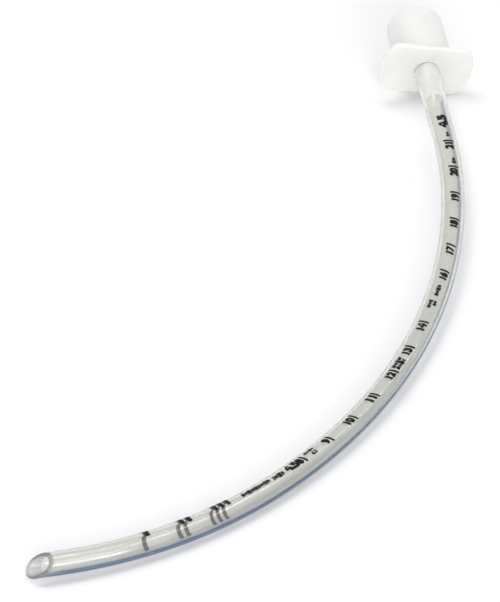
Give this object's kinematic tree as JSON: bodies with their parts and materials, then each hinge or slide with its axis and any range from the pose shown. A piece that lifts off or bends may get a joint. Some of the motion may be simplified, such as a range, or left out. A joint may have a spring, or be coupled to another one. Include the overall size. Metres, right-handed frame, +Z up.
{
  "type": "endotracheal tube",
  "caption": "Clear curved airway tube with a bevelled tip, a blue radiopaque line, printed depth marks and a white winged connector with a 15 mm male cone.",
  "frame": {"origin": "centre of the outline on the table that the tube lies on", "axes": "+Z up; +Y towards the connector, along the longest extent; +X towards the outside of the bend"},
  "size_m": [0.1176, 0.2078, 0.0203],
  "materials": {
    "clear_tube": "clear flexible vinyl, glossy, with black printed marks",
    "blue_line": "opaque blue line set in the wall",
    "white_connector": "translucent white moulded plastic, satin"
  },
  "bodies": {
    "root": {"tube": "clear_tube", "radiopaque_stripe": "blue_line", "connector": "white_connector"}
  },
  "joints": []
}
